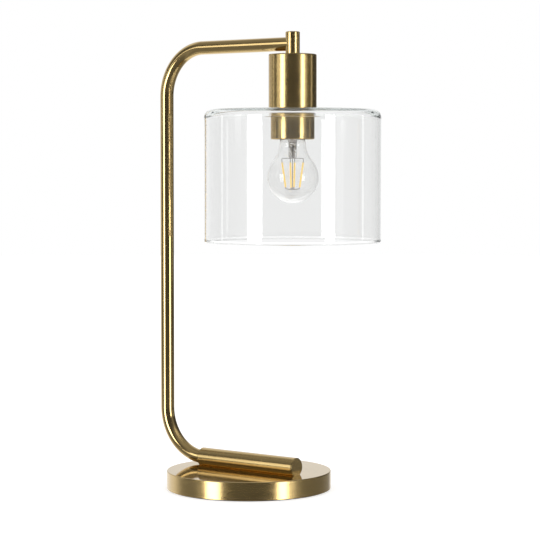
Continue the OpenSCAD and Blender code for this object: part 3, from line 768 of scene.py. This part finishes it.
def bulb_mount():
    """Flare and pillar, pinched flat and dimpled where the wires were pressed in."""
    flare_r = CAP_R - 1.4 * MM
    top = NECK_Z
    profile = [(0, PILLAR_TIP), (PILLAR_R - 1.2 * MM, PILLAR_TIP + 0.1 * MM), (PILLAR_R - 0.2 * MM, PILLAR_TIP + 1 * MM)]
    pinch_z1 = PILLAR_TIP + 13 * MM
    steps = 26
    profile += [(PILLAR_R, PILLAR_TIP + 1 * MM + (pinch_z1 - PILLAR_TIP - 1 * MM) * i / steps) for i in range(1, steps + 1)]
    profile += [(PILLAR_R, top - 14 * MM), (flare_r * 0.62, top - 8 * MM), (flare_r, top - 1 * MM), (flare_r, top),
        (flare_r - 1 * MM, top), (flare_r * 0.62 - 1 * MM, top - 7.6 * MM), (PILLAR_R - 1.6 * MM, top - 13 * MM), (0, top - 13 * MM)]
    made = lathe("bulb_mount", profile, segments=64)
    facing = math.radians(38)
    for vertex in made.data.vertices:
        place = vertex.co - AXIS
        if place.z > pinch_z1 + 4 * MM:
            continue
        share = min(1.0, (pinch_z1 + 4 * MM - place.z) / (5 * MM))
        u = place.x * math.cos(facing) + place.y * math.sin(facing)
        v = -place.x * math.sin(facing) + place.y * math.cos(facing)
        v *= 1 - 0.42 * share
        dimple = 0.28 * MM * math.sin(place.z / (1.15 * MM)) * math.cos(u / (1.4 * MM)) * share
        v += math.copysign(dimple, v) if abs(v) > 0.3 * MM else 0
        vertex.co = AXIS + Vector((u * math.cos(facing) - v * math.sin(facing),
            u * math.sin(facing) + v * math.cos(facing), place.z))
    finish(made, "bulb", "bulb_clear_glass", "pressed_glass", "bulb_stem", bevel_angle=70)


FIRST_FILAMENT = math.radians(26)
FILAMENTS = 4
FILAMENT_TOP_R = 12.6 * MM
FILAMENT_LOW_R = 8.0 * MM


def spoke(index, radius, z):
    turn = FIRST_FILAMENT + 2 * math.pi * index / FILAMENTS
    return Vector((HEAD_X + radius * math.cos(turn), radius * math.sin(turn), z))


def bulb_insides():
    """Wires, filaments with their metal end tabs, and the pressed wire feet in the pillar."""
    wire_r = 0.35 * MM
    filament_r = 0.95 * MM
    wires, rods, tabs = bmesh.new(), bmesh.new(), bmesh.new()
    swept_tube(wires, [(HEAD_X, 0, HUB_Z), (HEAD_X, 0, (HUB_Z + PILLAR_TIP) / 2), (HEAD_X, 0, PILLAR_TIP)], wire_r)
    for i in range(FILAMENTS):
        arm_z = PILLAR_TIP - 0.5 * MM
        top = spoke(i, FILAMENT_TOP_R, FILAMENT_Z1)
        foot = spoke(i, FILAMENT_LOW_R, FILAMENT_Z0)
        swept_tube(wires, [spoke(i, 2.0 * MM, arm_z), spoke(i, 6 * MM, arm_z + 0.3 * MM),
            spoke(i, FILAMENT_TOP_R - 1 * MM, arm_z + 0.2 * MM), spoke(i, FILAMENT_TOP_R, arm_z - 0.3 * MM), top], wire_r)
        swept_tube(wires, [spoke(i, 0.4 * MM, HUB_Z + wire_r), spoke(i, FILAMENT_LOW_R * 0.6, HUB_Z + 0.5 * MM),
            spoke(i, FILAMENT_LOW_R, HUB_Z + 1.2 * MM), foot], wire_r)
        climb = [spoke(i, (1.5 + 0.5 * math.cos(1.9 * k)) * MM, PILLAR_TIP + (1.2 + k) * MM) for k in range(14)]
        swept_tube(wires, climb, 0.4 * MM, 10)
        ahead = (top - foot).normalized()
        tab = 1.3 * MM
        rod_mesh(rods, foot + ahead * tab, top - ahead * tab, filament_r, 20, 0.5)
        rod_mesh(tabs, foot, foot + ahead * tab * 1.3, filament_r * 0.62, 12)
        rod_mesh(tabs, top - ahead * tab * 1.3, top, filament_r * 0.62, 12)
    finish(from_bmesh("bulb_wires", wires), "bulb", "zinc_steel", "lead_wire", "bulb_leads", bevel_angle=50)
    finish(from_bmesh("yellow_filaments", rods), "bulb", "phosphor", "phosphor", "bulb_filaments", bevel_angle=50)
    finish(from_bmesh("filament_tabs", tabs), "bulb", "zinc_steel", "zinc_steel", bevel_angle=50)


def bulb_screw_cap():
    """Rolled screw cap with its round thread and the cone above it."""
    made = threaded_shell("bulb_screw_cap", CAP_R, CAP_Z0, CAP_Z1 - 2 * MM, 3.62 * MM, 0.75 * MM, 2.2 * MM, 0.4 * MM)
    finish(made, "bulb", "cap_metal", "cap_metal", "bulb_cap", bevel_angle=60)
    insulator_r = 9.5 * MM
    wall = 0.4 * MM
    cone = [(CAP_R - 0.1 * MM, CAP_Z1 - 2 * MM), (insulator_r, CAP_Z1), (insulator_r - wall, CAP_Z1),
        (CAP_R - wall - 0.1 * MM, CAP_Z1 - 2 * MM)]
    finish(lathe("bulb_cap_cone", cone, segments=96), "bulb", "cap_metal", "cap_metal")


base_cover()
lying_bar()
arc_tube()
stem_and_cap()
cup()
ring()
shade()
holder_thread()
bulb_envelope()
bulb_mount()
bulb_insides()
bulb_screw_cap()

# The CAD nodes that stay in view keep their shapes and take their finishes by slot.
SLOT_OF = {part["node"]: part["material_slot"] for part in frame["record"]["subparts"]}
for node_name, node in frame["nodes"].items():
    if node.hide_render:
        continue
    node.data.materials.clear()
    node.data.materials.append(FINISHES[SLOT_OF[node_name]])

# Camera: the photograph's place and angle, fitted to its outlines. The frame is 540 pixels square.
FOCAL_PIXELS = 2013.47
FRAME_PIXELS = 540
CAMERA_PLACE = Vector((1.47028, -1.84150, 0.38231))
CAMERA_YAW = 37.9993
CAMERA_DIP = 3.0337

camera_data = bpy.data.cameras.new("camera")
camera_data.sensor_width = 36
camera_data.lens = 36 * FOCAL_PIXELS / FRAME_PIXELS
camera_data.clip_start = 0.05
camera_data.clip_end = 50
camera = bpy.data.objects.new("camera", camera_data)
yaw, dip = math.radians(CAMERA_YAW), math.radians(CAMERA_DIP)
looking = Vector((-math.sin(yaw) * math.cos(dip), math.cos(yaw) * math.cos(dip), -math.sin(dip)))
camera.location = CAMERA_PLACE
camera.rotation_euler = looking.to_track_quat("-Z", "Y").to_euler()
bpy.context.scene.collection.objects.link(camera)
bpy.context.scene.camera = camera

# Studio: white all round for the camera and through glass, and for reflections a dark room with a
# white sweep behind, two bright soft boxes, four dim ones and a dim ceiling.
DAYLIGHT = 0.85
# What the bent edges of the glass see high up and low down
STEEP_FILL = 0.6
TO_CAMERA = math.degrees(math.atan2(-math.cos(yaw), math.sin(yaw)))
# Levels by bearing from the camera's side, in degrees, at the left below zero
WALL_LEVELS = [
    (-180, 0.95), (-128, 0.90), (-116, 0.50), (-108, 0.16), (-80, 0.16), (-70, 0.30), (-58, 0.16), (-30, 0.10),
    (30, 0.10), (60, 0.32), (74, 0.28), (84, 0.12), (120, 0.07), (152, 0.10), (166, 0.90), (180, 0.95)]
TABLE_LEVELS = [
    (-180, 0.30), (-120, 0.30), (-95, 0.14), (-60, 0.06), (60, 0.06), (85, 0.14), (110, 0.16), (150, 0.28), (180, 0.30)]
# Soft boxes: bearings of both edges, lowest and highest elevation, and level
BOXES = [(-61, -41, -15, 13, 6.5), (41.5, 55.5, -15, 13, 6.5), (-80, -71, 2, 24, 2.0), (58, 68, -15, 13, 0.7),
    (-106, -102.5, -2, 10, 2.0), (100.5, 104, -2, 10, 2.0)]


def mirrored_rays(tree, rays):
    """1 for rays that a surface reflected, but 0 for those that wandered inside a wall or crossed four walls."""
    reflected = tree.math("GREATER_THAN", rays["Glossy Depth"], 0.5)
    one_wall = tree.math("LESS_THAN", rays["Transmission Depth"], 2.5)
    far = tree.math("GREATER_THAN", rays["Transmission Depth"], 4.5)
    guided = tree.math("MAXIMUM", one_wall, tree.math("GREATER_THAN", rays["Glossy Depth"], 1.5))
    guided = tree.math("MAXIMUM", guided, far)
    inside = tree.math("MULTIPLY", rays["Is Transmission Ray"], guided)
    return tree.math("MULTIPLY", reflected, tree.math("SUBTRACT", 1.0, inside))


def studio():
    world = bpy.data.worlds.new("studio")
    bpy.context.scene.world = world
    tree = Tree(world)
    towards = tree.add("ShaderNodeTexCoord").outputs["Generated"]
    x, y, z = tree.add("ShaderNodeSeparateXYZ", i0=towards).outputs
    bearing = tree.math("MULTIPLY", tree.math("ARCTAN2", y, x), 180 / math.pi)
    turned = tree.math("WRAP", tree.math("SUBTRACT", bearing, TO_CAMERA), 180.0)
    wrap = turned.node
    wrap.inputs[2].default_value = -180.0
    place = tree.math("MULTIPLY", tree.math("ADD", turned, 180.0), 1 / 360)
    height = tree.math("MULTIPLY", tree.math("ARCSINE", z), 180 / math.pi)

    def ring_of(levels):
        return tree.ramp(place, [((angle + 180) / 360, level) for angle, level in levels])

    room = tree.math("MULTIPLY", ring_of(WALL_LEVELS), tree.span(height, 38.0, 52.0, 1.0, 0.0))
    table_top = tree.math("MULTIPLY", ring_of(TABLE_LEVELS), tree.span(height, -8.0, -4.0, 1.0, 0.0))
    ceiling = tree.span(height, 25.0, 60.0, 0.0, 0.42)
    room = tree.math("ADD", tree.math("ADD", room, table_top), ceiling)
    for start, end, bottom, top, level in BOXES:
        across = tree.math("MULTIPLY", tree.span(turned, start - 0.5, start, 0.0, level),
            tree.span(turned, end, end + 0.5, 1.0, 0.0))
        upright = tree.math("MULTIPLY", tree.span(height, bottom - 2, bottom, 0.0, 1.0),
            tree.span(height, top, top + 2, 1.0, 0.0))
        room = tree.math("ADD", room, tree.math("MULTIPLY", across, upright))
    rays = tree.add("ShaderNodeLightPath").outputs
    steep = tree.span(tree.math("ABSOLUTE", height), 15.0, 40.0, 0.0, STEEP_FILL)
    room = tree.math("ADD", room, tree.math("MULTIPLY", rays["Is Transmission Ray"], steep))
    seen = tree.math("MAXIMUM", rays["Is Camera Ray"], rays["Is Transmission Ray"])
    open_light = tree.span(seen, 0.0, 1.0, DAYLIGHT, 1.0)
    mirrored = mirrored_rays(tree, rays)
    plain = tree.math("MULTIPLY", tree.math("SUBTRACT", 1.0, mirrored), open_light)
    strength = tree.math("ADD", tree.math("MULTIPLY", mirrored, room), plain)
    light = tree.add("ShaderNodeBackground", Color=(1, 1, 1, 1), Strength=strength)
    tree.surface(light.outputs[0], kind="ShaderNodeOutputWorld")
    world.cycles.sampling_method = "NONE"


def floor():
    """Round white floor that keeps the lamp's soft shadow and melts into the background."""
    built = bmesh.new()
    rings = []
    for radius in (0.15, 0.5, 1.2, 2.5, 6.0):
        rings.append([built.verts.new((radius * math.cos(2 * math.pi * i / 96), radius * math.sin(2 * math.pi * i / 96), 0))
            for i in range(96)])
    built.faces.new(rings[0])
    for a, b in zip(rings, rings[1:]):
        for i in range(96):
            j = (i + 1) % 96
            built.faces.new([a[i], b[i], b[j], a[j]])
    made = from_bmesh("floor", built)
    paper, tree = material("paper")
    rays = tree.add("ShaderNodeLightPath").outputs
    seen = tree.math("MAXIMUM", rays["Is Camera Ray"], rays["Is Transmission Ray"])
    matt = tree.add("ShaderNodeBsdfDiffuse", Color=(0.72, 0.72, 0.72, 1))
    lift = tree.add("ShaderNodeEmission", Color=(1, 1, 1, 1), Strength=tree.math("MULTIPLY", seen, 0.58))
    both = tree.add("ShaderNodeAddShader", i0=matt.outputs[0], i1=lift.outputs[0])
    clear = tree.add("ShaderNodeBsdfTransparent")
    mirrored = mirrored_rays(tree, rays)
    shown = tree.add("ShaderNodeMixShader", i0=mirrored, i1=both.outputs[0], i2=clear.outputs[0])
    tree.surface(shown.outputs[0])
    made.data.materials.append(paper)


studio()
floor()

# Enough bounces for light that is guided along the shade's wall
paths = bpy.context.scene.cycles
paths.max_bounces = 64
paths.glossy_bounces = 64
paths.transmission_bounces = 64

view_settings = bpy.context.scene.view_settings
view_settings.view_transform = "Standard"
